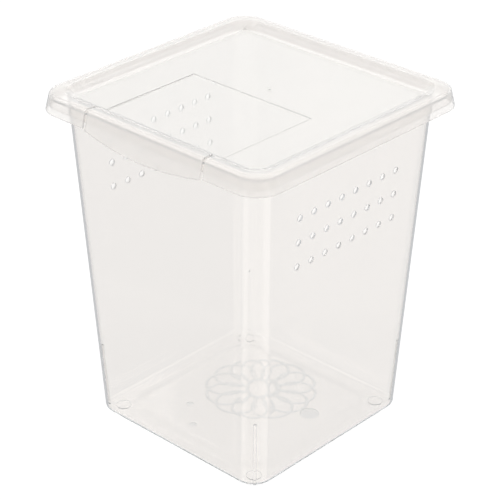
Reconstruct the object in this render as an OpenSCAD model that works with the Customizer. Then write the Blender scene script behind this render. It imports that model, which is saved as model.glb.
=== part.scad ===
// Clear plastic pet keeper: a tapered see-through tub under a lid with a hinged flap.
// The origin is in the middle of the tub's base, +Z is up and the flap opens at the -Y side.

/* [Tub] */
// Outer width of the square tub at its foot
base_w = 151.4; // [138:0.2:160]
// Outer width of the square tub, taken at the top of its rim
mouth_w = 175.8; // [168:0.2:190]
// Height of the tub from the table to the top of its rim
tub_h = 240.5; // [200:0.5:300]
// Outer radius of the tub's upright corners
corner_r = 13.5; // [10:0.5:18]
// Thickness of the tub's walls
wall = 1.4; // [1:0.1:2]
// Thickness of the tub's floor
floor_t = 1.6; // [1.2:0.1:2.4]
// Outer radius of the edge where the walls meet the floor
foot_edge_r = 3; // [2.4:0.2:4]

/* [Base] */
// Height of the four small round feet
foot_h = 0.8; // [0.4:0.1:2]
// Diameter of the four small round feet
foot_d = 10.5; // [6:0.5:11]
// Distance from the tub's outer wall to the middle of a foot
foot_inset = 13.2; // [12:0.1:16]
// Width of the low ring of floor round the raised panel, from the tub's outer wall
ring_w = 15; // [13:0.5:22]
// Height by which the middle of the floor is raised
floor_rise = 1.2; // [0.6:0.1:2.4]
// Corner radius of the raised panel
floor_panel_r = 9; // [5:0.5:16]
// Height of the upright rib in each bottom corner
rib_h = 49; // [30:1:70]
// Thickness of the corner ribs
rib_t = 2.2; // [1.2:0.1:3]
// How far the corner ribs stand out from the wall
rib_reach = 2; // [1.4:0.1:3]

/* [Rim of the tub] */
// How far the rim stands out from the wall
rim_reach = 8.1; // [5:0.1:11]
// Depth of the rim, from its top to its lower edge
rim_depth = 6; // [4:0.2:9]
// Thickness of the rim
rim_t = 1.5; // [1.2:0.1:2]
// Lean of the rim and of the lid's skirt from upright, in degrees
flare = 13.5; // [4:0.5:18]
// Corner radius of the line, above the wall's outer face, that the rim and the lid's skirt follow
rim_corner_r = 7; // [4:0.5:12]

/* [Air holes] */
// Diameter of an air hole
hole_d = 4.6; // [2.5:0.1:6]
// Holes in each row
hole_columns = 8; // [2:1:9]
// Rows of holes
hole_rows = 3; // [1:1:6]
// Distance from hole to hole along a row
hole_pitch = 13.3; // [8:0.1:15]
// Distance from row to row
row_pitch = 17.6; // [9:0.1:22]
// Distance from the top of the rim down to the top row
hole_drop = 43.9; // [20:0.1:70]

/* [Lid] */
// Thickness of the lid and of the flap
lid_t = 1.3; // [1:0.1:1.8]
// Gap all round between the tub's rim and the lid's skirt
fit_gap = 0.4; // [0.3:0.05:0.8]
// Gap left above the edge of the tub's mouth, where the lid seats
seat_gap = 0.25; // [0.2:0.05:0.6]
// How far the lid's skirt hangs below the tub's rim
skirt_drop = 3.5; // [1:0.1:6]
// Height of the lid's raised border above its flat panel
border_rise = 5.4; // [3:0.2:6]
// Width of the slope between the panel and the top of the border
slope_w = 10; // [8:0.2:11]
// Distance from the inside of the tub's mouth to the edge of the panel
panel_inset = 7.1; // [5:0.1:10]
// Corner radius of the panel
panel_r = 6; // [3:0.5:12]
// Radius of the border's outer edge
border_edge_r = 2.5; // [1.8:0.1:3.4]

/* [Flap] */
// Width of the flap's opening across the panel
flap_w = 105.2; // [70:0.2:120]
// Distance from the middle of the lid to the hinge, towards the back
hinge_y = 0; // [-15:1:15]
// Width of the slits between the flap and the panel
panel_slit = 0.7; // [0.4:0.1:1.2]
// Width of the slits through the border and the skirt
skirt_slit = 2.2; // [1.3:0.1:3]
// How far the middle of the finger tab hangs below the lid's skirt
tab_drop = 6.4; // [4.2:0.2:14]
// How far the ends of the finger tab hang below the lid's skirt
tab_end_drop = 0.8; // [0:0.1:3]
// Width of the thin web that the flap bends on
hinge_web_w = 1.2; // [0.8:0.1:2]
// Thickness of the web that the flap bends on
hinge_web_t = 0.35; // [0.25:0.05:0.6]
// Width of the catch behind the finger tab
catch_w = 47; // [20:1:60]
// Height of the catch
catch_h = 1.6; // [1:0.1:2]
// Gap between the catch and the tub's rim above it
catch_gap = 0.3; // [0.2:0.05:0.8]
// Part of the fit gap that the catch takes up
catch_bite = 0.25; // [0.1:0.05:0.3]

/* [Hidden] */

ROUND_FN = 96;
HULL_FN = 48;
ARC_STEPS = 6;
// Overshoot of cuts past the faces they open
past = 1;
// How far a solid's filled middle runs past the centres of its round corners
core = 0.5;

// Lean of the tub's walls: how far a wall goes out for each millimetre up
wall_lean = (mouth_w - base_w) / 2 / tub_h;
mouth_half = mouth_w / 2;
inner_corner_r = corner_r - wall;
inner_edge_r = foot_edge_r - wall;
floor_top = foot_h + floor_t;
floor_panel_half = base_w / 2 - ring_w;
rim_low = tub_h - rim_depth;

// The lid's slope rests over the inner edge of the tub's mouth
slope_angle = atan2(border_rise, slope_w);
panel_half = mouth_half - wall - panel_inset;
panel_z = tub_h + seat_gap + lid_t / cos(slope_angle) - panel_inset * tan(slope_angle);
panel_under = panel_z - lid_t;
border_top = panel_z + border_rise;
border_under = border_top - lid_t;
// The bend under the edge of the panel lies further out, so the wall stays even
slope_under_shift = lid_t * tan(slope_angle / 2);
skirt_low = rim_low - skirt_drop;
skirt_t = lid_t / cos(flare);
inner_border_edge_r = border_edge_r - lid_t;

flap_half = flap_w / 2;
slit_step = (skirt_slit - panel_slit) / 2;
tab_low = skirt_low - tab_drop;
tab_end = skirt_low - tab_end_drop;
tab_half = flap_half + slit_step - skirt_slit;
// The tab's lower edge is one arc through its two ends and its middle
tab_sag = tab_end - tab_low;
tab_arc_r = (tab_half * tab_half + tab_sag * tab_sag) / (2 * tab_sag);
groove_depth = lid_t - hinge_web_t;
lid_reach = mouth_half + rim_reach + fit_gap + skirt_t + (tub_h - tab_low) * tan(flare);

// Half the outer width of the tub's walls at height z
function wall_half(z) = base_w / 2 + wall_lean * z;
// How far the outside of the rim lies from the mouth's outer face at height z
function rim_out(z) = rim_reach + (tub_h - z) * tan(flare);
// The same for the inside and the outside of the lid's skirt
function skirt_in(z) = rim_out(z) + fit_gap;
function skirt_out(z) = skirt_in(z) + skirt_t;
// Points along an arc of radius r round c
function arc(c, r, from, to) = [
    for (i = [0 : ARC_STEPS])
        let (a = from + (to - from) * i / ARC_STEPS)
        [c[0] + r * cos(a), c[1] + r * sin(a)]
];
// Centre of a round edge of radius r that meets a level top at z and the leaning side
function edge_centre(x_side, z, r) = [x_side - r / cos(flare) + r * tan(flare), z - r];

// A profile in x (outwards) and z (up), swept round a square path with round corners.
// x = 0 lies on the path, which runs at a distance of half from the middle.
module sweep_square(half, r) {
    straight = half - r;
    for (turn = [0 : 3])
        rotate([0, 0, 90 * turn]) {
            translate([half, straight, 0])
                rotate([90, 0, 0])
                    linear_extrude(2 * straight)
                        children();
            translate([straight, straight, 0])
                rotate_extrude(angle = 90, $fn = ROUND_FN)
                    translate([r, 0])
                        children();
        }
}

// The same sweep for a solid: the profile reaches in to x = core - r, and the middle is filled
module square_solid(half, r, low, high) {
    middle = half - r + core;
    sweep_square(half, r)
        children();
    translate([-middle, -middle, low])
        cube([2 * middle, 2 * middle, high - low]);
}

module at_corners(d) {
    for (x = [-d, d], y = [-d, d])
        translate([x, y, 0])
            children();
}

// A round post whose lower edge is rounded
module round_foot_post(r, edge_r, z) {
    profile = concat([[0, z], [r - edge_r, z]],
                     arc([r - edge_r, z + edge_r], edge_r, -90, 0),
                     [[0, z + edge_r]]);
    rotate_extrude($fn = HULL_FN)
        polygon(profile);
}

// A tapered square form with round corners, between low and high
module tapered_form(inset, r, edge_r, low, high) {
    thin = 0.01;
    hull() {
        at_corners(wall_half(low + edge_r) - inset - r)
            round_foot_post(r, edge_r, low);
        at_corners(wall_half(high) - inset - r)
            translate([0, 0, high - thin])
                cylinder(r = r, h = thin, $fn = HULL_FN);
    }
}

// The walls, the floor and the rim, cut open by the inside of the tub
module tub_shell() {
    difference() {
        union() {
            tapered_form(0, corner_r, foot_edge_r, foot_h, tub_h);
            tub_rim();
        }
        tapered_form(wall, inner_corner_r, inner_edge_r, floor_top, tub_h + past);
    }
}

// The raised panel in the middle of the floor, or the hollow under it
module floor_panel(shift, low, high) {
    r = floor_panel_r + shift;
    lean = high - low;
    square_solid(floor_panel_half + shift, r, low, high)
        polygon([[core - r, low], [0, low], [-lean, high], [core - r, high]]);
}

module tub_feet() {
    at_corners(wall_half(foot_h) - foot_inset)
        cylinder(d = foot_d, h = foot_h + floor_t / 2, $fn = ROUND_FN);
}

// A low rib inside each bottom corner, equally deep all the way up, with a round top
module corner_ribs() {
    low = floor_top - floor_t / 2;
    high = floor_top + rib_h;
    low_d = corner_depth(low);
    high_d = corner_depth(high);
    for (turn = [0 : 3])
        rotate([90, 0, 45 + 90 * turn])
            intersection() {
                translate([0, 0, -rib_t])
                    linear_extrude(2 * rib_t)
                        polygon([[low_d - rib_reach, low], [low_d + wall / 2, low],
                                 [high_d + wall / 2, high], [high_d - rib_reach, high]]);
                rotate([0, 90, 0])
                    linear_extrude(high_d + wall)
                        rib_front(low, high);
            }
}

// A corner rib's outline, seen from the middle of the tub
module rib_front(low, high) {
    translate([-rib_t / 2, low])
        square([rib_t, high - low - rib_t / 2]);
    translate([0, high - rib_t / 2])
        circle(d = rib_t, $fn = ROUND_FN);
}

// Distance from the tub's middle to the inside of its corner at height z
function corner_depth(z) = (wall_half(z) - corner_r) * sqrt(2) + inner_corner_r;

// The rim: a level flange, turned down at its outer edge, with the mouth not yet cut out
module tub_rim() {
    r = rim_corner_r;
    edge = edge_centre(rim_out(tub_h), tub_h, rim_t / 2);
    under = tub_h - rim_t;
    profile = concat([[core - r, under], [core - r, tub_h]],
                     arc(edge, rim_t / 2, 90, flare),
                     [[rim_out(rim_low), rim_low], [rim_out(rim_low) - rim_t, rim_low],
                      [rim_out(under) - rim_t, under]]);
    square_solid(mouth_half, r, under, tub_h)
        polygon(profile);
}

// One cylinder cuts a hole in both side walls
module air_holes() {
    for (row = [0 : hole_rows - 1], column = [0 : hole_columns - 1])
        translate([0, (column - (hole_columns - 1) / 2) * hole_pitch, tub_h - hole_drop - row * row_pitch])
            rotate([0, 90, 0])
                cylinder(d = hole_d, h = mouth_w + 2 * past, center = true, $fn = ROUND_FN);
}

module tub() {
    color([0.92, 0.93, 0.93, 0.4])
        difference() {
            union() {
                tub_shell();
                tub_feet();
                corner_ribs();
                floor_panel(0, floor_top - floor_t / 2, floor_top + floor_rise);
            }
            floor_panel(-floor_t, foot_h - past, foot_h + floor_rise);
            air_holes();
        }
}

// Everything inside the lid's outer faces, down to height low
module lid_outside(low) {
    r = rim_corner_r;
    edge = edge_centre(skirt_out(border_top), border_top, border_edge_r);
    profile = concat([[core - r, low], [skirt_out(low), low]],
                     arc(edge, border_edge_r, flare, 90),
                     [[core - r, border_top]]);
    square_solid(mouth_half, r, low, border_top)
        polygon(profile);
}

// The hollow above the panel
module lid_recess() {
    r = panel_r;
    over = past * slope_w / border_rise;
    square_solid(panel_half, r, panel_z, border_top + past)
        polygon([[core - r, panel_z], [0, panel_z], [slope_w + over, border_top + past],
                 [core - r, border_top + past]]);
}

// The hollow under the lid, round the panel that hangs into it
module lid_underside(low) {
    r = rim_corner_r;
    edge = edge_centre(skirt_in(border_under), border_under, inner_border_edge_r);
    profile = concat([[core - r, low - past], [skirt_in(low - past), low - past]],
                     arc(edge, inner_border_edge_r, flare, 90),
                     [[core - r, border_under]]);
    difference() {
        square_solid(mouth_half, r, low - past, border_under)
            polygon(profile);
        panel_body();
    }
}

// The panel and its slope, down to their underside
module panel_body() {
    r = panel_r;
    top = border_under + past;
    run = slope_under_shift + (top - panel_under) * slope_w / border_rise;
    square_solid(panel_half, r, panel_under, top)
        polygon([[core - r, panel_under], [slope_under_shift, panel_under], [run, top], [core - r, top]]);
}

// The moulded shell of lid and flap together, with a skirt down to height low
module lid_shell(low) {
    difference() {
        lid_outside(low);
        lid_recess();
        lid_underside(low);
    }
}

// The plan of the flap's opening, made narrower on each side for the flap itself
module flap_plan(panel_less, skirt_less) {
    half = flap_half - panel_less;
    front_half = flap_half + slit_step - skirt_less;
    back = hinge_y;
    linear_extrude(border_top + past)
        polygon([[-front_half, -lid_reach - past], [front_half, -lid_reach - past],
                 [front_half, -panel_half], [half, -panel_half], [half, back],
                 [-half, back], [-half, -panel_half], [-front_half, -panel_half]]);
}

// The groove across the underside of the panel, and the width of the web through its top
module hinge_groove() {
    web = hinge_web_w / 2;
    wide = web + groove_depth + past;
    translate([-flap_half, hinge_y, 0])
        rotate([90, 0, 90])
            linear_extrude(flap_w)
                polygon([[-web, panel_z + past], [-web, panel_z - hinge_web_t],
                         [-wide, panel_under - past], [wide, panel_under - past],
                         [web, panel_z - hinge_web_t], [web, panel_z + past]]);
}

module lid() {
    color([0.95, 0.94, 0.93, 0.6])
        difference() {
            lid_shell(skirt_low);
            flap_plan(0, 0);
            hinge_groove();
        }
}

// Everything above the bowed lower edge of the finger tab
module tab_outline() {
    translate([0, 0, tab_low + tab_arc_r])
        rotate([90, 0, 0])
            cylinder(r = tab_arc_r, h = 2 * (lid_reach + past), center = true, $fn = 4 * ROUND_FN);
}

// A low bar along the inside of the finger tab, under the tub's rim
module flap_catch() {
    top = rim_low - catch_gap;
    low = top - catch_h;
    translate([-catch_w / 2, -mouth_half, 0])
        rotate([90, 0, 90])
            linear_extrude(catch_w)
                polygon([[-skirt_in(top) - skirt_t / 2, top], [-skirt_in(low) - skirt_t / 2, low],
                         [catch_bite - skirt_in(low), low], [catch_bite - skirt_in(top), top]]);
}

module hatch() {
    color([0.95, 0.94, 0.93, 0.6])
        union() {
            difference() {
                intersection() {
                    lid_shell(tab_low);
                    flap_plan(panel_slit, skirt_slit);
                    tab_outline();
                }
                hinge_groove();
            }
            flap_catch();
        }
}

module living_hinge() {
    color([0.93, 0.93, 0.94, 0.6])
        translate([panel_slit - flap_half, hinge_y - hinge_web_w / 2, panel_z - hinge_web_t])
            cube([flap_w - 2 * panel_slit, hinge_web_w, hinge_web_t]);
}

tub();
lid();
hatch();
living_hinge();
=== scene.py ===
import math

import bmesh
import bpy
from mathutils import Matrix, Vector


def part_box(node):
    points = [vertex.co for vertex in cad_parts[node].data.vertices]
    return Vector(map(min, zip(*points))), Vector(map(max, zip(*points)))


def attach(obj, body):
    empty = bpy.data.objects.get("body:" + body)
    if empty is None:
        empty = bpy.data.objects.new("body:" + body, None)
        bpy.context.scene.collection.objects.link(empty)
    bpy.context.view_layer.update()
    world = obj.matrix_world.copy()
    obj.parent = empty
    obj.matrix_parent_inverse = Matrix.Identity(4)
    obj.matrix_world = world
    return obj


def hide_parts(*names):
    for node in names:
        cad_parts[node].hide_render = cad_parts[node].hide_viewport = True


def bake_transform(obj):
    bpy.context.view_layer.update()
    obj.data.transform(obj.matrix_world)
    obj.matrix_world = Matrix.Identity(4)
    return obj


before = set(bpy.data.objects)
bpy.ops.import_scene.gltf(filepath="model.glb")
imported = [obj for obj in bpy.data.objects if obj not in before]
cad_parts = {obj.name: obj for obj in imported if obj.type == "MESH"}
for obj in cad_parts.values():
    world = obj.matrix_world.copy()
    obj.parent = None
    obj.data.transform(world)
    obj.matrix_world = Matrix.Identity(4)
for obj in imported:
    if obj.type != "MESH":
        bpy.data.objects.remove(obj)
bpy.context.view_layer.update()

# All sizes below are in millimetres; settle() brings a finished mesh to metres.
MM = 0.001

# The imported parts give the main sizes
tub_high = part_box("tub")[1] / MM
lid_low, lid_high = (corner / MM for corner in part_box("lid"))
flap_low, flap_high = (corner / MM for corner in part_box("hatch"))
web_low, web_high = (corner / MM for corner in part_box("living_hinge"))

# Tub: walls
TUB_H = tub_high.z
WALL = 1.4
CORNER_R = 13.5
CORNER_INSIDE_R = CORNER_R - WALL
BASE_HALF = 75.7
BASE_EDGE_R = 3.0
MOUTH_HALF = 87.9
LEAN = (MOUTH_HALF - BASE_HALF) / TUB_H
LEAN_ANGLE = math.atan(LEAN)

# Tub: feet, and a floor whose middle is raised by a soft step
FOOT_H = 0.8
FOOT_R = 5.25
FOOT_INSET = 13.2
FOOT_EDGE = 0.25
FLOOR_T = 1.6
FLOOR_TOP = FOOT_H + FLOOR_T
FLOOR_RING_W = 15.0
FLOOR_RISE = 1.2
FLOOR_PANEL_TOP = FLOOR_TOP + FLOOR_RISE
FLOOR_PANEL_R = 16.0
FLOOR_STEP_W = 6.0
FLOOR_STEP_R = 28.0

# Tub: ribs in the bottom corners
RIB_H = 49.0
RIB_T = 2.2
RIB_REACH = 2.0
RIB_EDGE_R = 0.6
RIB_EDGE_STEPS = 5
RIB_TOP_STEPS = 16

# Tub: turned-down rim
RIM_T = 1.5
RIM_DEPTH = 6.0
RIM_CORNER_R = 7.0
FLARE = math.radians(13.5)
RIM_REACH = tub_high.x - MOUTH_HALF - RIM_DEPTH * math.tan(FLARE)
RIM_LOW = TUB_H - RIM_DEPTH
NECK_R = 0.6
RIM_INSIDE_R = 0.3
RIM_LIP_R = 0.4
RIM_TOP_R = 0.75
MOUTH_EDGE_R = 0.5

# Air holes
HOLE_D = 4.6
HOLE_COLUMNS = 8
HOLE_ROWS = 3
HOLE_PITCH = 13.3
ROW_PITCH = 17.6
HOLE_DROP = 43.9
HOLE_LIP = 0.05

# Round marks of the ejector pins on the tub's floor: x, y, radius
PIN_MARKS = [(41.6, 16.0, 6.5), (-27.0, -32.0, 2.5), (-7.0, -49.0, 2.5)]
PIN_MARK_DEPTH = 0.2
PIN_MARK_EDGE = 0.15

# Ornament on the tub's floor: a round chain of overlapping rings, each a low crowned ridge
ROSETTE_RINGS = 12
ROSETTE_RING_R = 14.0
ROSETTE_RING_STEPS = 64
ROSETTE_CHAIN_R = 25.0
ROSETTE_PLACE = (-5.0, 17.0)
RIDGE_W = 1.8
RIDGE_H = 0.14
RIDGE_STEPS = 7
RIDGE_SUNK = 0.04

# Lid
LID_T = 1.3
FIT_GAP = 0.4
BORDER_RISE = 5.4
BORDER_TOP = lid_high.z
PANEL_Z = BORDER_TOP - BORDER_RISE
SLOPE_W = 10.0
PANEL_HALF = MOUTH_HALF - WALL - 7.1
PANEL_R = 6.0
PANEL_FLAT = 3.0
PANEL_EDGE_R = 1.2
PANEL_UNDER_R = 2.0
BORDER_EDGE_R = 2.5
BORDER_UNDER_R = 0.6
SKIRT_LOW = lid_low.z
SKIRT_UNDER_R = 1.2
SKIRT_LIP_R = 0.35
LID_EDGE_BREAK = 0.22
BREAK_ANGLE = math.radians(50)

# Mark of the mould's gate on the lid: its place, and its section as (radius, height)
GATE_PLACE = (2.0, 16.0)
GATE_SECTION = [
    (0, -0.4),
    (3.0, -0.4),
    (3.0, 0.0),
    (2.8, 0.28),
    (2.4, 0.28),
    (2.0, 0.04),
    (1.1, 0.04),
    (0.9, 0.5),
    (0, 0.5),
]

# Flap, its finger tab with the catch inside, and the web it bends on
FLAP_HALF = flap_high.x
FLAP_LOW = flap_low.z
FLAP_EDGE_R = 0.3
FLAP_EDGE_STEPS = 3
FLAP_STRIPS = 56
FLAP_MITRE_MIN = 0.4
PANEL_SLIT = 0.3
SKIRT_SLIT = 2.2
SLIT_STEP = (SKIRT_SLIT - PANEL_SLIT) / 2
TAB_HALF = FLAP_HALF + PANEL_SLIT + SLIT_STEP - SKIRT_SLIT
TAB_END = SKIRT_LOW - 0.8
CATCH_W = 47.0
CATCH_H = 1.6
CATCH_GAP = 0.3
CATCH_BITE = 0.25
WEB_HALF = web_high.y
WEB_T = web_high.z - web_low.z
WEB_GAP = 0.02
WEB_STRIPS = 12
HINGE_FLANK = LID_T - WEB_T

# How far a cutter reaches past what it cuts
CUT_PAST = 1.0

# How finely curves are drawn, and the angle from which an edge stays sharp
CORNER_STEPS = 16
BEND_STEPS = 4
PIN_STEPS = 40
SHARP_ANGLE = math.radians(32)

# How much light goes straight through the lid: in its polished panel, and in border and skirt
PANEL_CLEAR = 0.88
BORDER_CLEAR = 0.72
MILKY_RUN = 2.0

# Table: its radius and thickness, its top a hair below the feet, and how bright it is to the
# eye and to dull surfaces
TABLE_R = 4000.0
TABLE_T = 1.0
TABLE_TOP = -0.05
TABLE_STEPS = 96
TABLE_SEEN = 0.96
TABLE_LIGHT = 0.2

# Studio: its ceiling in mirror images, and its dome for dull surfaces
CEILING = 1.06
HORIZON_LIGHT = 0.6
ZENITH_LIGHT = 1.38

# The studio's walls, from behind the part (0) round its sides to its front (1)
ROOM_ROUND = [
    (0.0, "#CCCED1"),
    (0.55, "#CCCED1"),
    (0.565, "#FFFFFF"),
    (0.8, "#FFFFFF"),
    (0.92, "#D8DADC"),
]

# Where those walls show (black), from straight down (0) to straight up (1)
ROOM_BELT = [(0.15, "#FFFFFF"), (0.17, "#000000"), (0.36, "#000000"), (0.39, "#FFFFFF")]

# Softboxes: name, place and width in metres, power in watts; all look at the part's middle
SOFTBOXES = [
    ("softbox_left", (-1.1, -1.1, 1.5), 0.9, 4),
    ("softbox_right", (1.2, 0.9, 1.4), 0.7, 5),
]
PART_MIDDLE = (0, 0, 0.12)

# How often light may turn. It is caught for long in clear walls, and where it runs out it
# leaves black lines.
LONGEST_PATH = 640
GLOSSY_TURNS = 512
CLEAR_TURNS = 128
DULL_TURNS = 16


def wall_half(z):
    """Half the outer width of the tub's walls at height z."""
    return BASE_HALF + LEAN * z


def rim_out(z):
    """How far the outside of the rim lies from the mouth's outer face at height z."""
    return RIM_REACH + (TUB_H - z) * math.tan(FLARE)


def skirt_in(z):
    """The same for the inside of the lid's skirt."""
    return rim_out(z) + FIT_GAP


def skirt_out(z):
    """The same for the outside of the lid's skirt."""
    return skirt_in(z) + LID_T / math.cos(FLARE)


# ---------------------------------------------------------------- camera

# In metres
VIEW_TARGET = (-0.0001, -0.0001, 0.1242)
VIEW_DISTANCE = 1.28146
VIEW_AZIMUTH = math.radians(43.0037)
VIEW_ELEVATION = math.radians(28.4131)
VIEW_ROLL = math.radians(0.2085)
SENSOR_W = 36
LENS = 135.93


def make_camera():
    """A long lens in front of the part's corner, looking a little down."""
    data = bpy.data.cameras.new("camera")
    data.sensor_width = SENSOR_W
    data.lens = LENS
    camera = bpy.data.objects.new("camera", data)
    camera.matrix_world = (
        Matrix.Translation(VIEW_TARGET)
        @ Matrix.Rotation(VIEW_AZIMUTH, 4, "Z")
        @ Matrix.Rotation(math.pi / 2 - VIEW_ELEVATION, 4, "X")
        @ Matrix.Rotation(VIEW_ROLL, 4, "Z")
        @ Matrix.Translation((0, 0, VIEW_DISTANCE))
    )
    bpy.context.scene.collection.objects.link(camera)
    bpy.context.scene.camera = camera


# ---------------------------------------------------------------- materials


def linear(hex_colour):
    """An sRGB hex colour as the linear RGBA that nodes take."""
    values = [int(hex_colour[i : i + 2], 16) / 255 for i in (1, 3, 5)]
    colour = [v / 12.92 if v <= 0.04045 else ((v + 0.055) / 1.055) ** 2.4 for v in values]
    return colour + [1]


def add(tree, kind, inputs=None, **settings):
    """Adds a node with its settings; inputs holds numbers to set and sockets to link."""
    node = tree.nodes.new(kind)
    for name, value in settings.items():
        setattr(node, name, value)
    for key, value in (inputs or {}).items():
        if isinstance(value, bpy.types.NodeSocket):
            tree.links.new(value, node.inputs[key])
        else:
            node.inputs[key].default_value = value
    return node


def new_material(name):
    """An empty node material, and its node tree."""
    material = bpy.data.materials.new(name)
    material.use_nodes = True
    material.node_tree.nodes.clear()
    return material, material.node_tree


def per_metre(size_mm):
    """The scale that makes a noise pattern's features about that many millimetres wide."""
    return 1 / (size_mm * MM)


def clear_polystyrene():
    """General-purpose polystyrene, injection moulded: glass clear and glossy, with long low
    waves left by the mould's flow, and grey-blue where light runs along inside the wall."""
    material, tree = new_material("clear_moulded_polystyrene")
    place = add(tree, "ShaderNodeTexCoord").outputs["Object"]
    waves = add(tree, "ShaderNodeTexNoise", {"Vector": place, "Scale": per_metre(30), "Detail": 1.0})
    bump = add(tree, "ShaderNodeBump", {"Height": waves.outputs["Fac"], "Distance": 0.04 * MM})
    surface = add(
        tree,
        "ShaderNodeBsdfPrincipled",
        {
            "Base Color": linear("#F9F7F5"),
            "Roughness": 0.03,
            "IOR": 1.59,
            "Transmission Weight": 1.0,
            "Normal": bump.outputs["Normal"],
        },
    )
    depth = add(tree, "ShaderNodeVolumeAbsorption", {"Color": linear("#A9BCC6"), "Density": 2.0})
    add(
        tree,
        "ShaderNodeOutputMaterial",
        {"Surface": surface.outputs[0], "Volume": depth.outputs[0]},
    )
    return material


def drilled_polystyrene():
    """The wall of a drilled hole in polystyrene: scuffed fine by the drill, so it is satin and
    lets light through softly. The low index keeps that light nearly straight, so a hole shows
    as two pale arcs and not as a dark ring."""
    material, tree = new_material("drilled_polystyrene")
    place = add(tree, "ShaderNodeTexCoord").outputs["Object"]
    scuffs = add(tree, "ShaderNodeTexNoise", {"Vector": place, "Scale": per_metre(0.4), "Detail": 2.0})
    bump = add(tree, "ShaderNodeBump", {"Height": scuffs.outputs["Fac"], "Distance": 0.03 * MM})
    surface = add(
        tree,
        "ShaderNodeBsdfPrincipled",
        {
            "Base Color": linear("#FDFDFD"),
            "Roughness": 0.4,
            "IOR": 1.2,
            "Transmission Weight": 1.0,
            "Normal": bump.outputs["Normal"],
        },
    )
    add(tree, "ShaderNodeOutputMaterial", {"Surface": surface.outputs[0]})
    return material


def etched_polystyrene():
    """Polystyrene moulded against an etched line of the mould: satin, so a little darker and
    duller than the clear floor round it."""
    material, tree = new_material("etched_polystyrene")
    place = add(tree, "ShaderNodeTexCoord").outputs["Object"]
    grain = add(tree, "ShaderNodeTexNoise", {"Vector": place, "Scale": per_metre(0.6), "Detail": 2.0})
    bump = add(tree, "ShaderNodeBump", {"Height": grain.outputs["Fac"], "Distance": 0.03 * MM})
    surface = add(
        tree,
        "ShaderNodeBsdfPrincipled",
        {
            "Base Color": linear("#F7F8F8"),
            "Roughness": 0.25,
            "IOR": 1.59,
            "Transmission Weight": 0.96,
            "Normal": bump.outputs["Normal"],
        },
    )
    add(tree, "ShaderNodeOutputMaterial", {"Surface": surface.outputs[0]})
    return material


def milky_polypropylene():
    """Natural polypropylene, injection moulded. The panel is pressed between polished faces
    and stays clear; border and skirt come milky off the mould. The haze lies in the plastic,
    so light goes on nearly straight (low index) under a glossy skin (the coat)."""
    material, tree = new_material("natural_moulded_polypropylene")
    place = add(tree, "ShaderNodeTexCoord").outputs["Object"]
    sides = add(tree, "ShaderNodeVectorMath", {0: place}, operation="ABSOLUTE")
    side = add(tree, "ShaderNodeSeparateXYZ", {0: sides.outputs[0]}).outputs
    reach = add(tree, "ShaderNodeMath", {0: side["X"], 1: side["Y"]}, operation="MAXIMUM")
    milky = add(
        tree,
        "ShaderNodeMapRange",
        {
            "Value": reach.outputs[0],
            "From Min": PANEL_HALF * MM,
            "From Max": (PANEL_HALF + MILKY_RUN) * MM,
        },
    )
    clear = add(
        tree,
        "ShaderNodeMapRange",
        {"Value": milky.outputs[0], "To Min": PANEL_CLEAR, "To Max": BORDER_CLEAR},
    )
    tint = add(
        tree,
        "ShaderNodeMix",
        {"Factor": milky.outputs[0], 6: linear("#F4F3F1"), 7: linear("#FEFCFA")},
        data_type="RGBA",
    )
    waves = add(tree, "ShaderNodeTexNoise", {"Vector": place, "Scale": per_metre(24), "Detail": 2.0})
    bump = add(tree, "ShaderNodeBump", {"Height": waves.outputs["Fac"], "Distance": 0.06 * MM})
    surface = add(
        tree,
        "ShaderNodeBsdfPrincipled",
        {
            "Base Color": tint.outputs[2],
            "Roughness": 0.06,
            "IOR": 1.09,
            "Transmission Weight": clear.outputs[0],
            "Coat Weight": 1.0,
            "Coat Roughness": 0.05,
            "Coat IOR": 1.49,
            "Normal": bump.outputs["Normal"],
        },
    )
    depth = add(tree, "ShaderNodeVolumeAbsorption", {"Color": linear("#C2CBD2"), "Density": 1.0})
    add(
        tree,
        "ShaderNodeOutputMaterial",
        {"Surface": surface.outputs[0], "Volume": depth.outputs[0]},
    )
    return material


# ---------------------------------------------------------------- mesh tools


def new_object(name, verts, faces):
    """An object in millimetres with outward faces."""
    mesh = bpy.data.meshes.new(name)
    mesh.from_pydata([tuple(v) for v in verts], [], faces)
    work = bmesh.new()
    work.from_mesh(mesh)
    bmesh.ops.recalc_face_normals(work, faces=work.faces)
    work.to_mesh(mesh)
    work.free()
    obj = bpy.data.objects.new(name, mesh)
    bpy.context.scene.collection.objects.link(obj)
    return obj


def bake_modifiers(obj):
    """Turns what an object's modifiers make into its plain mesh."""
    graph = bpy.context.evaluated_depsgraph_get()
    mesh = bpy.data.meshes.new_from_object(obj.evaluated_get(graph))
    old = obj.data
    obj.modifiers.clear()
    obj.data = mesh
    bpy.data.meshes.remove(old)
    return obj


def settle(obj, node):
    """Finishes a piece: metres, smooth faces with sharp edges and its CAD node."""
    obj.data.transform(Matrix.Scale(MM, 4))
    work = bmesh.new()
    work.from_mesh(obj.data)
    for face in work.faces:
        face.smooth = True
    for edge in work.edges:
        edge.smooth = not (edge.is_manifold and edge.calc_face_angle(0) > SHARP_ANGLE)
    work.to_mesh(obj.data)
    work.free()
    weigh = obj.modifiers.new("even_shading", "WEIGHTED_NORMAL")
    weigh.mode = "FACE_AREA"
    weigh.keep_sharp = True
    bake_modifiers(obj)
    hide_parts(node)


def combine(obj, other, operation):
    """Exact boolean of two closed objects. The second one is used up, and the faces it leaves
    take its own material, or the first one's where it has none."""
    if not other.data.materials:
        other.data.materials.append(obj.data.materials[0])
    cut = obj.modifiers.new(operation, "BOOLEAN")
    cut.operation = operation
    cut.solver = "EXACT"
    cut.material_mode = "TRANSFER"
    cut.object = other
    bake_modifiers(obj)
    bpy.data.meshes.remove(other.data)


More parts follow.
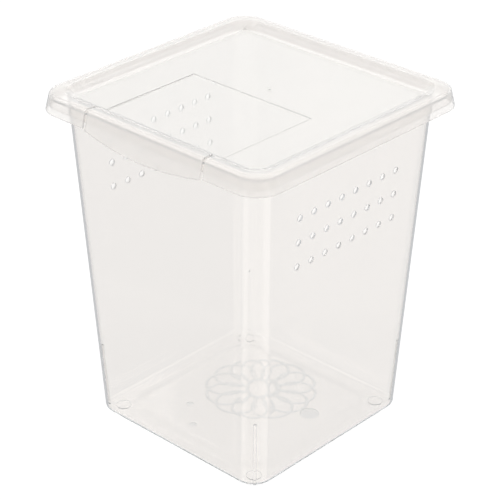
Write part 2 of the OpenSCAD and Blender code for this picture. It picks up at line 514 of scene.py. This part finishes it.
def break_edges(obj, width):
    """Breaks the right-angled edges that cuts leave, as a mould does."""
    bevel = obj.modifiers.new("broken_edges", "BEVEL")
    bevel.width = width
    bevel.segments = 2
    bevel.limit_method = "ANGLE"
    bevel.angle_limit = BREAK_ANGLE
    bake_modifiers(obj)


def square_ring(half, radius, z):
    """Points round a square with round corners, anticlockwise from +X."""
    points = []
    for corner in range(4):
        turn = corner * math.pi / 2
        centre = Matrix.Rotation(turn, 3, "Z") @ Vector((half - radius, half - radius, 0))
        for step in range(CORNER_STEPS + 1):
            angle = turn + step / CORNER_STEPS * math.pi / 2
            points.append(
                (centre.x + radius * math.cos(angle), centre.y + radius * math.sin(angle), z)
            )
    return points


def rounded(points):
    """Rounds a path's bends with arcs. Each point is (coordinates, radius); the first coordinate
    and the last are the section, and one between them just follows. The ends stay."""
    out = [Vector(points[0][0])]
    for before, here, after in zip(points, points[1:], points[2:]):
        corner, radius = Vector(here[0]), here[1]
        back = Vector(before[0]) - corner
        on = Vector(after[0]) - corner
        flat_back = Vector((back[0], 0, back[-1]))
        flat_on = Vector((on[0], 0, on[-1]))
        turn = math.pi - flat_back.angle(flat_on)
        reach = radius * math.tan(turn / 2)
        if reach == 0:
            out.append(corner)
            continue
        start = corner + back * (reach / flat_back.length)
        end = corner + on * (reach / flat_on.length)
        weight = math.cos(turn / 2)
        for step in range(BEND_STEPS + 1):
            t = step / BEND_STEPS
            a, b, c = (1 - t) ** 2, 2 * weight * t * (1 - t), t * t
            out.append((start * a + corner * b + end * c) / (a + b + c))
    out.append(Vector(points[-1][0]))
    return out


def skin(name, rings):
    """A closed solid through rings of points; all rings have the same number of points."""
    count = len(rings[0])
    verts = [point for ring in rings for point in ring]
    faces = [tuple(range(count)), tuple(range(len(verts) - count, len(verts)))]
    for i in range(len(rings) - 1):
        for j in range(count):
            a, b = i * count + j, i * count + (j + 1) % count
            faces.append((a, b, b + count, a + count))
    return new_object(name, verts, faces)


def loft(name, profile):
    """A closed solid through rounded squares; the profile's points are (half, radius, z)."""
    return skin(name, [square_ring(*point) for point in profile])


def prism(name, outline, axis, low, high):
    """An outline pushed from low to high along an axis; outline holds the other two coordinates."""
    rings = []
    for level in (low, high):
        rings.append([list(point) for point in outline])
        for values in rings[-1]:
            values.insert("XYZ".index(axis), level)
    return skin(name, rings)


def arc(steps, start=0.0, end=math.tau):
    """Angles from start to end in equal steps, both ends included."""
    return [start + (end - start) * k / steps for k in range(steps + 1)]


def turned(name, profile, steps=32):
    """A solid turned round Z; the profile's points are (radius, z), first and last on the axis."""
    rings = []
    for r, z in profile[1:-1]:
        rings.append([(r * math.cos(a), r * math.sin(a), z) for a in arc(steps)[:-1]])
    return skin(name, rings)


def moved(obj, place):
    """Puts an object's mesh somewhere else, while the object stays at the origin."""
    obj.data.transform(Matrix.Translation(place))
    return obj


# ---------------------------------------------------------------- tub


def tub_shell():
    """Walls, floor and turned-down rim as one skin of even thickness."""
    under = TUB_H - RIM_T
    panel = BASE_HALF - FLOOR_RING_W - FLOOR_STEP_W / 2

    def rim(out, z):
        return (MOUTH_HALF + out, RIM_CORNER_R + out, z)

    def floor(out, z):
        return (panel + out, FLOOR_PANEL_R + out, z)

    def outside(z):
        return (wall_half(z), CORNER_R, z)

    def inside(z):
        return (wall_half(z) - WALL, CORNER_INSIDE_R, z)

    path = [
        (floor(-FLOOR_STEP_W, FOOT_H + FLOOR_RISE), 0),
        (floor(0, FOOT_H + FLOOR_RISE), FLOOR_STEP_R),
        (floor(FLOOR_STEP_W, FOOT_H), FLOOR_STEP_R),
        (outside(FOOT_H), BASE_EDGE_R),
        (outside(under), NECK_R),
        (rim(rim_out(under) - RIM_T, under), RIM_INSIDE_R),
        (rim(rim_out(RIM_LOW) - RIM_T, RIM_LOW), RIM_INSIDE_R),
        (rim(rim_out(RIM_LOW), RIM_LOW), RIM_LIP_R),
        (rim(rim_out(TUB_H), TUB_H), RIM_TOP_R),
        (inside(TUB_H), MOUTH_EDGE_R),
        (inside(FLOOR_TOP), BASE_EDGE_R - WALL),
        (floor(FLOOR_STEP_W, FLOOR_TOP), FLOOR_STEP_R),
        (floor(0, FLOOR_PANEL_TOP), FLOOR_STEP_R),
        (floor(-FLOOR_STEP_W, FLOOR_PANEL_TOP), 0),
    ]
    return loft("tub_body", rounded(path))


def foot(x, y):
    """A low round foot with a broken edge, let halfway into the floor above it."""
    top = FOOT_H + FLOOR_T / 2
    bend = 0.3 * FOOT_EDGE
    profile = [
        (0, 0),
        (FOOT_R - FOOT_EDGE, 0),
        (FOOT_R - bend, bend),
        (FOOT_R, FOOT_EDGE),
        (FOOT_R, top),
        (0, top),
    ]
    return moved(turned("foot", profile), (x, y, 0))


def corner_depth(z):
    """Distance from the tub's middle to the inside of its corner at height z."""
    return (wall_half(z) - CORNER_R) * math.sqrt(2) + CORNER_R - WALL


def corner_rib(turn):
    """A low rib inside a bottom corner, equally deep all the way up, with a round top and
    a rounded crown. Each ring is its outline at one depth, seen from the tub's middle."""
    low, high = FLOOR_TOP - FLOOR_T / 2, FLOOR_TOP + RIB_H
    levels = []
    for a in arc(RIB_EDGE_STEPS, 0, math.pi / 2):
        levels.append((RIB_EDGE_R * (1 - math.sin(a)), RIB_EDGE_R * (1 - math.cos(a))))
    levels.append((0, RIB_REACH + WALL / 2))
    rings = []
    for narrower, depth in levels:
        half = RIB_T / 2 - narrower
        outline = []
        for a in arc(RIB_TOP_STEPS, 0, math.pi):
            outline.append((half * math.cos(a), high - RIB_T / 2 + half * math.sin(a)))
        outline += [(-half, low), (half, low)]
        rings.append([(corner_depth(z) - RIB_REACH + depth, y, z) for y, z in outline])
    rib = skin("rib", rings)
    rib.data.transform(Matrix.Rotation(math.pi / 4 + turn * math.pi / 2, 4, "Z"))
    return rib


def hole_cutter():
    """The drill for one air hole: a pin that flares where it meets either face of the wall."""
    wide = HOLE_D / 2 + HOLE_LIP
    half = WALL / 2
    past = half + CUT_PAST
    upper = []
    for a in arc(BEND_STEPS, 0, math.pi / 2):
        upper.append((wide - HOLE_LIP * math.cos(a), half - HOLE_LIP * (1 - math.sin(a))))
    lower = [(radius, -z) for radius, z in reversed(upper)]
    profile = [(0, -past), (wide, -past)] + lower + upper + [(wide, past), (0, past)]
    return turned("hole_cutter", profile, PIN_STEPS)


def new_tree(name, inputs):
    """A Geometry Nodes tree that changes a mesh, with the named inputs it needs. Gives the tree
    and the sockets that hold its inputs."""
    tree = bpy.data.node_groups.new(name, "GeometryNodeTree")
    for label, kind in [("Geometry", "NodeSocketGeometry"), *inputs]:
        tree.interface.new_socket(label, in_out="INPUT", socket_type=kind)
    tree.interface.new_socket("Geometry", in_out="OUTPUT", socket_type="NodeSocketGeometry")
    return tree, add(tree, "NodeGroupInput").outputs


def air_hole_tree():
    """Rows of holes cut through the two side walls. The grid of drills is laid flat,
    stood up against one leaning wall, and turned round for the wall opposite."""
    inputs = [
        ("Drill", "NodeSocketObject"),
        ("Columns", "NodeSocketInt"),
        ("Rows", "NodeSocketInt"),
        ("Block width", "NodeSocketFloat"),
        ("Block height", "NodeSocketFloat"),
        ("Wall middle", "NodeSocketVector"),
        ("Wall turn", "NodeSocketVector"),
        ("Drilled plastic", "NodeSocketMaterial"),
    ]
    tree, given = new_tree("air_holes", inputs)
    grid = add(
        tree,
        "GeometryNodeMeshGrid",
        {
            "Size X": given["Block width"],
            "Size Y": given["Block height"],
            "Vertices X": given["Columns"],
            "Vertices Y": given["Rows"],
        },
    )
    drill = add(tree, "GeometryNodeObjectInfo", {"Object": given["Drill"]})
    drills = add(
        tree,
        "GeometryNodeInstanceOnPoints",
        {"Points": grid.outputs["Mesh"], "Instance": drill.outputs["Geometry"]},
    )
    stood = add(
        tree,
        "GeometryNodeTransform",
        {
            "Geometry": drills.outputs[0],
            "Translation": given["Wall middle"],
            "Rotation": given["Wall turn"],
        },
    )
    opposite = add(
        tree,
        "GeometryNodeTransform",
        {"Geometry": stood.outputs[0], "Rotation": (0, 0, math.pi)},
    )
    both = add(tree, "GeometryNodeJoinGeometry", {"Geometry": stood.outputs[0]})
    tree.links.new(opposite.outputs[0], both.inputs[0])
    solid = add(tree, "GeometryNodeRealizeInstances", {"Geometry": both.outputs[0]})
    marked = add(
        tree,
        "GeometryNodeStoreNamedAttribute",
        {"Geometry": solid.outputs[0], "Name": "drilled", "Value": True},
        data_type="BOOLEAN",
        domain="FACE",
    )
    cut = add(
        tree,
        "GeometryNodeMeshBoolean",
        {"Mesh 1": given["Geometry"], "Mesh 2": marked.outputs[0]},
        operation="DIFFERENCE",
        solver="EXACT",
    )
    real = add(tree, "GeometryNodeRealizeInstances", {"Geometry": cut.outputs["Mesh"]})
    drilled = add(tree, "GeometryNodeInputNamedAttribute", {"Name": "drilled"}, data_type="BOOLEAN")
    painted = add(
        tree,
        "GeometryNodeSetMaterial",
        {
            "Geometry": real.outputs[0],
            "Selection": drilled.outputs["Attribute"],
            "Material": given["Drilled plastic"],
        },
    )
    add(tree, "NodeGroupOutput", {"Geometry": painted.outputs[0]})
    return tree


def run_tree(obj, tree, values):
    """Runs a Geometry Nodes tree on an object with its named inputs set."""
    modifier = obj.modifiers.new(tree.name, "NODES")
    modifier.node_group = tree
    for item in tree.interface.items_tree:
        if item.in_out == "INPUT" and item.name in values:
            modifier[item.identifier] = values[item.name]
    return bake_modifiers(obj)


def make_tub(plastic):
    """The tub: shell, feet and ribs in one, with the marks of its mould and its air holes."""
    tub = tub_shell()
    tub.data.materials.append(plastic)
    inset = wall_half(FOOT_H) - FOOT_INSET
    for x in (-inset, inset):
        for y in (-inset, inset):
            combine(tub, foot(x, y), "UNION")
    for turn in range(4):
        combine(tub, corner_rib(turn), "UNION")
    etched = etched_polystyrene()
    for x, y, radius in PIN_MARKS:
        combine(tub, pin_mark(x, y, radius, etched), "DIFFERENCE")
    mould_rosette(tub, etched)
    middle_z = TUB_H - HOLE_DROP - (HOLE_ROWS - 1) / 2 * ROW_PITCH
    drill = hole_cutter()
    run_tree(
        tub,
        air_hole_tree(),
        {
            "Drill": drill,
            "Columns": HOLE_COLUMNS,
            "Rows": HOLE_ROWS,
            "Block width": HOLE_PITCH * (HOLE_COLUMNS - 1),
            "Block height": ROW_PITCH * (HOLE_ROWS - 1) / math.cos(LEAN_ANGLE),
            "Wall middle": (wall_half(middle_z) - WALL / 2, 0, middle_z),
            "Wall turn": (math.pi / 2 + LEAN_ANGLE, 0, math.pi / 2),
            "Drilled plastic": drilled_polystyrene(),
        },
    )
    bpy.data.meshes.remove(drill.data)
    settle(tub, "tub")
    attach(tub, "tub")


def rosette_tree():
    """A round chain of equal overlapping rings, each a low crowned ridge on the floor. The
    ridge's section is an arc closed by its chord, which is sunk a little into the floor."""
    inputs = [
        ("Rings", "NodeSocketInt"),
        ("Ring radius", "NodeSocketFloat"),
        ("Chain radius", "NodeSocketFloat"),
        ("Crown radius", "NodeSocketFloat"),
        ("Crown half angle", "NodeSocketFloat"),
        ("Place", "NodeSocketVector"),
        ("Etched plastic", "NodeSocketMaterial"),
    ]
    tree, given = new_tree("rosette", inputs)
    centres = add(
        tree,
        "GeometryNodeCurvePrimitiveCircle",
        {"Resolution": given["Rings"], "Radius": given["Chain radius"]},
    )
    ring = add(
        tree,
        "GeometryNodeCurvePrimitiveCircle",
        {"Resolution": ROSETTE_RING_STEPS, "Radius": given["Ring radius"]},
    )
    double = add(
        tree,
        "ShaderNodeMath",
        {0: given["Crown half angle"], 1: 2.0},
        operation="MULTIPLY",
    )
    start = add(
        tree,
        "ShaderNodeMath",
        {0: math.pi / 2, 1: given["Crown half angle"]},
        operation="SUBTRACT",
    )
    crown = add(
        tree,
        "GeometryNodeCurveArc",
        {
            "Resolution": RIDGE_STEPS,
            "Radius": given["Crown radius"],
            "Start Angle": start.outputs[0],
            "Sweep Angle": double.outputs[0],
        },
    )
    closed = add(
        tree,
        "GeometryNodeSetSplineCyclic",
        {"Geometry": crown.outputs["Curve"], "Cyclic": True},
    )
    cosine = add(tree, "ShaderNodeMath", {0: given["Crown half angle"]}, operation="COSINE")
    drop = add(
        tree,
        "ShaderNodeMath",
        {0: given["Crown radius"], 1: cosine.outputs[0]},
        operation="MULTIPLY",
    )
    down = add(
        tree,
        "ShaderNodeMath",
        {0: -RIDGE_SUNK, 1: drop.outputs[0]},
        operation="SUBTRACT",
    )
    shift = add(tree, "ShaderNodeCombineXYZ", {"Y": down.outputs[0]})
    section = add(
        tree,
        "GeometryNodeTransform",
        {"Geometry": closed.outputs[0], "Translation": shift.outputs[0]},
    )
    ridge = add(
        tree,
        "GeometryNodeCurveToMesh",
        {"Curve": ring.outputs[0], "Profile Curve": section.outputs[0]},
    )
    ridges = add(
        tree,
        "GeometryNodeInstanceOnPoints",
        {"Points": centres.outputs[0], "Instance": ridge.outputs[0]},
    )
    laid = add(
        tree,
        "GeometryNodeTransform",
        {"Geometry": ridges.outputs[0], "Translation": given["Place"]},
    )
    solid = add(tree, "GeometryNodeRealizeInstances", {"Geometry": laid.outputs[0]})
    marked = add(
        tree,
        "GeometryNodeStoreNamedAttribute",
        {"Geometry": solid.outputs[0], "Name": "etched", "Value": True},
        data_type="BOOLEAN",
        domain="FACE",
    )
    joined = add(
        tree,
        "GeometryNodeMeshBoolean",
        {"Mesh 2": given["Geometry"], "Self Intersection": True},
        operation="UNION",
        solver="EXACT",
    )
    tree.links.new(marked.outputs[0], joined.inputs["Mesh 2"])
    real = add(tree, "GeometryNodeRealizeInstances", {"Geometry": joined.outputs["Mesh"]})
    etched = add(tree, "GeometryNodeInputNamedAttribute", {"Name": "etched"}, data_type="BOOLEAN")
    painted = add(
        tree,
        "GeometryNodeSetMaterial",
        {
            "Geometry": real.outputs[0],
            "Selection": etched.outputs["Attribute"],
            "Material": given["Etched plastic"],
        },
    )
    add(tree, "NodeGroupOutput", {"Geometry": painted.outputs[0]})
    return tree


def mould_rosette(tub, etched):
    """Puts the plain ornament on the tub's floor."""
    run_tree(
        tub,
        rosette_tree(),
        {
            "Rings": ROSETTE_RINGS,
            "Ring radius": ROSETTE_RING_R,
            "Chain radius": ROSETTE_CHAIN_R,
            "Crown radius": (RIDGE_W**2 / 4 + RIDGE_H**2) / (2 * RIDGE_H),
            "Crown half angle": 2 * math.atan(2 * RIDGE_H / RIDGE_W),
            "Place": (*ROSETTE_PLACE, FLOOR_PANEL_TOP),
            "Etched plastic": etched,
        },
    )


def pin_mark(x, y, radius, etched):
    """The shallow round dent that an ejector pin leaves in the floor, as a cutter."""
    profile = [
        (0, -PIN_MARK_DEPTH),
        (radius - PIN_MARK_EDGE, -PIN_MARK_DEPTH),
        (radius, 0),
        (radius, CUT_PAST),
        (0, CUT_PAST),
    ]
    mark = moved(turned("pin_mark", profile, PIN_STEPS), (x, y, FLOOR_PANEL_TOP))
    mark.data.materials.append(etched)
    return mark


# ---------------------------------------------------------------- lid


def lid_paths(low):
    """The lid's outer and inner path, each from the middle out, for a skirt down to low."""
    slope_angle = math.atan2(BORDER_RISE, SLOPE_W)
    shift = LID_T * math.tan(slope_angle / 2)
    under = BORDER_TOP - LID_T

    def out(distance, z, radius):
        return ((MOUTH_HALF + distance, RIM_CORNER_R + distance, z), radius)

    def panel(distance, z, radius):
        return ((PANEL_HALF + distance, PANEL_R + distance, z), radius)

    outer = [
        panel(-PANEL_FLAT, PANEL_Z, 0),
        panel(0, PANEL_Z, PANEL_EDGE_R),
        panel(SLOPE_W, BORDER_TOP, PANEL_EDGE_R),
        out(skirt_out(BORDER_TOP), BORDER_TOP, BORDER_EDGE_R),
        out(skirt_out(low), low, SKIRT_LIP_R),
    ]
    run = shift + (under - PANEL_Z + LID_T) * SLOPE_W / BORDER_RISE
    inner = [
        panel(-PANEL_FLAT, PANEL_Z - LID_T, 0),
        panel(shift, PANEL_Z - LID_T, PANEL_UNDER_R),
        panel(run, under, BORDER_UNDER_R),
        out(skirt_in(under), under, SKIRT_UNDER_R),
        out(skirt_in(low), low, SKIRT_LIP_R),
    ]
    return outer, inner


def opening_outline(panel_half, skirt_half, back):
    """Plan of the flap's opening: narrower in the panel, wider in the border and the skirt."""
    front = lid_high.x + CUT_PAST
    return [
        (-skirt_half, -front),
        (skirt_half, -front),
        (skirt_half, -PANEL_HALF),
        (panel_half, -PANEL_HALF),
        (panel_half, back),
        (-panel_half, back),
        (-panel_half, -PANEL_HALF),
        (-skirt_half, -PANEL_HALF),
    ]


def make_lid(plastic):
    """The lid round its flap: panel, border and skirt, cut open for the flap, thinned under
    the hinge, with the trimmed stub and low ring where the plastic ran into the mould."""
    outer, inner = lid_paths(SKIRT_LOW)
    lid = loft("lid_shell", rounded(outer + inner[::-1]))
    lid.data.materials.append(plastic)
    half = FLAP_HALF + PANEL_SLIT
    plan = opening_outline(half, half + SLIT_STEP, WEB_HALF)
    opening = prism("opening", plan, "Z", SKIRT_LOW - CUT_PAST, BORDER_TOP + CUT_PAST)
    combine(lid, opening, "DIFFERENCE")
    groove = [
        (0, PANEL_Z - WEB_T),
        (WEB_HALF, PANEL_Z - WEB_T),
        (WEB_HALF + HINGE_FLANK + CUT_PAST, PANEL_Z - LID_T - CUT_PAST),
        (0, PANEL_Z - LID_T - CUT_PAST),
    ]
    combine(lid, prism("groove", groove, "X", -half, half), "DIFFERENCE")
    break_edges(lid, LID_EDGE_BREAK)
    combine(lid, moved(turned("gate", GATE_SECTION), (*GATE_PLACE, PANEL_Z)), "UNION")
    settle(lid, "lid")
    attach(lid, "lid")


def tab_low(x):
    """Lower edge of the finger tab: one arc through its two ends and its middle."""
    sag = TAB_END - FLAP_LOW
    radius = (TAB_HALF**2 + sag**2) / (2 * sag)
    return FLAP_LOW + radius - math.sqrt(radius**2 - min(abs(x), TAB_HALF) ** 2)


def flap_section(low):
    """The flap's closed section as (distance to the front, z), for a tab down to low."""
    outer, inner = lid_paths(low)
    start = [((WEB_HALF, 0, PANEL_Z), 0)]
    end = [
        ((WEB_HALF + HINGE_FLANK, 0, PANEL_Z - LID_T), 0),
        ((WEB_HALF, 0, PANEL_Z - WEB_T), 0),
    ]
    return [(p[0], p[2]) for p in rounded(start + outer + inner[::-1] + end)]


def shrunk(section, distance):
    """A closed section drawn in all round by a distance, with sharp corners kept in check."""
    count = len(section)
    area = sum(
        section[i][0] * section[(i + 1) % count][1] - section[(i + 1) % count][0] * section[i][1]
        for i in range(count)
    )
    side = 1 if area > 0 else -1
    drawn_in = []
    for i in range(count):
        here = Vector(section[i])
        into = (here - Vector(section[i - 1])).normalized()
        out = (Vector(section[(i + 1) % count]) - here).normalized()
        normal_in, normal_out = Vector((-into.y, into.x)), Vector((-out.y, out.x))
        middle = (normal_in + normal_out).normalized()
        mitre = max(FLAP_MITRE_MIN, middle.dot(normal_in))
        drawn_in.append(here + middle * (side * distance / mitre))
    return drawn_in


def catch_bar():
    """The low bar along the inside of the finger tab that snaps under the tub's rim."""
    top = RIM_LOW - CATCH_GAP
    low = top - CATCH_H
    inside = LID_T / 2
    outline = [
        (-MOUTH_HALF - skirt_in(top) - inside, top),
        (-MOUTH_HALF - skirt_in(low) - inside, low),
        (CATCH_BITE - MOUTH_HALF - skirt_in(low), low),
        (CATCH_BITE - MOUTH_HALF - skirt_in(top), top),
    ]
    return prism("catch", outline, "X", -CATCH_W / 2, CATCH_W / 2)


def make_hatch(plastic):
    """The flap: one section swept across, drawn in a little at either end for a rounded edge,
    narrower in its border and skirt, the skirt let down to the bowed tab, a catch inside."""
    inner_half = FLAP_HALF - FLAP_EDGE_R
    side = []
    for a in arc(FLAP_EDGE_STEPS, 0, math.pi / 2):
        side.append((inner_half + FLAP_EDGE_R * math.cos(a), FLAP_EDGE_R * (1 - math.sin(a))))
    sweep = [(-x, shrink) for x, shrink in side]
    sweep += [(inner_half * (2 * k / FLAP_STRIPS - 1), 0) for k in range(1, FLAP_STRIPS)]
    sweep += side[::-1]
    narrow = TAB_HALF / FLAP_HALF
    rings = []
    for x, shrink in sweep:
        section = flap_section(tab_low(x * narrow))
        if shrink:
            section = shrunk(section, shrink)
        rings.append([(x * (narrow if out > PANEL_HALF else 1), -out, z) for out, z in section])
    hatch = skin("flap", rings)
    hatch.data.materials.append(plastic)
    combine(hatch, catch_bar(), "UNION")
    settle(hatch, "hatch")
    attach(hatch, "hatch")


def make_web(plastic):
    """The thin web that the flap bends on, in strips so that it can roll up. A hair's gap
    keeps its two edges off the panel and the flap, because clear faces that touch look black."""
    corners = [(-FLAP_HALF, 0), (FLAP_HALF, 0), (FLAP_HALF, -WEB_T), (-FLAP_HALF, -WEB_T)]
    rings = []
    for k in range(WEB_STRIPS + 1):
        y = (WEB_HALF - WEB_GAP) * (1 - 2 * k / WEB_STRIPS)
        rings.append([(x, y, PANEL_Z + z) for x, z in corners])
    web = skin("hinge_web", rings)
    web.data.materials.append(plastic)
    settle(web, "living_hinge")
    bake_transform(web)


# ---------------------------------------------------------------- table, studio and lamps


def mirrored(tree):
    """1 for light that has been mirrored at least once, in a face or by Fresnel gloss."""
    depth = add(tree, "ShaderNodeLightPath").outputs["Glossy Depth"]
    return add(tree, "ShaderNodeMath", {0: depth, 1: 0.5}, operation="GREATER_THAN").outputs[0]


def gathered(tree):
    """1 for light that a dull surface gathers from all round."""
    return add(tree, "ShaderNodeLightPath").outputs["Is Diffuse Ray"]


def make_stage():
    """A wide white table. It lies a hair below the feet, because a foot that touches it shows
    as a white disc. Mirror images in the glossy plastic don't show the table but the room,
    as a polished table top would pass it on."""
    profile = [(0, -TABLE_T), (TABLE_R, -TABLE_T), (TABLE_R, TABLE_TOP), (0, TABLE_TOP)]
    table = turned("table", profile, TABLE_STEPS)
    table.data.transform(Matrix.Scale(MM, 4))
    material, tree = new_material("white_table")
    paper = add(tree, "ShaderNodeBsdfDiffuse", {"Color": linear("#595959")})
    strength = add(
        tree,
        "ShaderNodeMapRange",
        {"Value": gathered(tree), "To Min": TABLE_SEEN, "To Max": TABLE_LIGHT},
    )
    glow = add(
        tree,
        "ShaderNodeEmission",
        {"Color": linear("#FFFFFF"), "Strength": strength.outputs[0]},
    )
    both = add(tree, "ShaderNodeAddShader", {0: paper.outputs[0], 1: glow.outputs[0]})
    image = add(
        tree,
        "ShaderNodeMath",
        {0: mirrored(tree), 1: gathered(tree)},
        operation="SUBTRACT",
        use_clamp=True,
    )
    clear = add(tree, "ShaderNodeBsdfTransparent")
    surface = add(
        tree,
        "ShaderNodeMixShader",
        {0: image.outputs[0], 1: both.outputs[0], 2: clear.outputs[0]},
    )
    add(tree, "ShaderNodeOutputMaterial", {"Surface": surface.outputs[0]})
    table.data.materials.append(material)


def set_stops(ramp, colours):
    """Gives a new colour ramp, which has two stops, all the stops it needs."""
    stops = ramp.color_ramp.elements
    for where, colour in colours[2:]:
        stops.new(where)
    for stop, (where, colour) in zip(stops, colours):
        stop.position = where
        stop.color = linear(colour)


def make_world():
    """White to the eye. To mirror images it is a studio: a bright ceiling, and low down a belt
    of walls that are grey behind the part and at its sides and white left and right of its
    front. The walls give clear plastic its outlines. A dull surface sees a dome instead of
    the ceiling, bright overhead and dimmer towards the horizon."""
    world = bpy.data.worlds.new("studio")
    bpy.context.scene.world = world
    world.use_nodes = True
    tree = world.node_tree
    tree.nodes.clear()
    way = add(tree, "ShaderNodeTexCoord").outputs["Generated"]
    level = add(tree, "ShaderNodeVectorMath", {0: way, 1: (1, 1, 0)}, operation="MULTIPLY")
    heading = add(tree, "ShaderNodeVectorMath", {0: level.outputs[0]}, operation="NORMALIZE")
    room_front = (math.sin(VIEW_AZIMUTH), -math.cos(VIEW_AZIMUTH), 0)
    frontal = add(
        tree,
        "ShaderNodeVectorMath",
        {0: heading.outputs[0], 1: room_front},
        operation="DOT_PRODUCT",
    )
    part = add(
        tree,
        "ShaderNodeMapRange",
        {"Value": frontal.outputs["Value"], "From Min": -1.0, "From Max": 1.0},
    )
    walls = add(tree, "ShaderNodeValToRGB", {"Fac": part.outputs[0]})
    set_stops(walls, ROOM_ROUND)
    height = add(tree, "ShaderNodeSeparateXYZ", {0: way}).outputs["Z"]
    rise = add(tree, "ShaderNodeMapRange", {"Value": height, "From Min": -1.0, "From Max": 1.0})
    belt = add(tree, "ShaderNodeValToRGB", {"Fac": rise.outputs[0]})
    set_stops(belt, ROOM_BELT)
    low = add(tree, "ShaderNodeBackground", {"Color": walls.outputs["Color"]})
    dome = add(
        tree,
        "ShaderNodeMapRange",
        {"Value": height, "To Min": HORIZON_LIGHT, "To Max": ZENITH_LIGHT},
    )
    above = add(
        tree,
        "ShaderNodeMix",
        {"Factor": gathered(tree), "A": CEILING, "B": dome.outputs[0]},
    )
    ceiling = add(
        tree,
        "ShaderNodeBackground",
        {"Color": linear("#FFFFFF"), "Strength": above.outputs[0]},
    )
    room = add(
        tree,
        "ShaderNodeMixShader",
        {0: belt.outputs["Color"], 1: low.outputs[0], 2: ceiling.outputs[0]},
    )
    white = add(tree, "ShaderNodeBackground", {"Color": linear("#FFFFFF")})
    lit = add(
        tree,
        "ShaderNodeMath",
        {0: mirrored(tree), 1: gathered(tree)},
        operation="MAXIMUM",
    )
    mix = add(
        tree,
        "ShaderNodeMixShader",
        {0: lit.outputs[0], 1: white.outputs[0], 2: room.outputs[0]},
    )
    add(tree, "ShaderNodeOutputWorld", {"Surface": mix.outputs[0]})


def make_lamp(name, place, width, power):
    """A square softbox that looks at the part."""
    data = bpy.data.lights.new(name, "AREA")
    data.shape = "SQUARE"
    data.size = width
    data.energy = power
    lamp = bpy.data.objects.new(name, data)
    lamp.location = place
    aim = Vector(PART_MIDDLE) - Vector(place)
    lamp.rotation_euler = aim.to_track_quat("-Z", "Y").to_euler()
    bpy.context.scene.collection.objects.link(lamp)


def main():
    """Camera first, then stage and light, then the four pieces."""
    make_camera()
    make_stage()
    make_world()
    for softbox in SOFTBOXES:
        make_lamp(*softbox)
    scene = bpy.context.scene
    scene.view_settings.view_transform = "Standard"
    scene.cycles.max_bounces = LONGEST_PATH
    scene.cycles.glossy_bounces = GLOSSY_TURNS
    scene.cycles.transmission_bounces = CLEAR_TURNS
    scene.cycles.diffuse_bounces = DULL_TURNS
    polystyrene = clear_polystyrene()
    polypropylene = milky_polypropylene()
    make_tub(polystyrene)
    make_lid(polypropylene)
    make_hatch(polypropylene)
    make_web(polypropylene)


main()
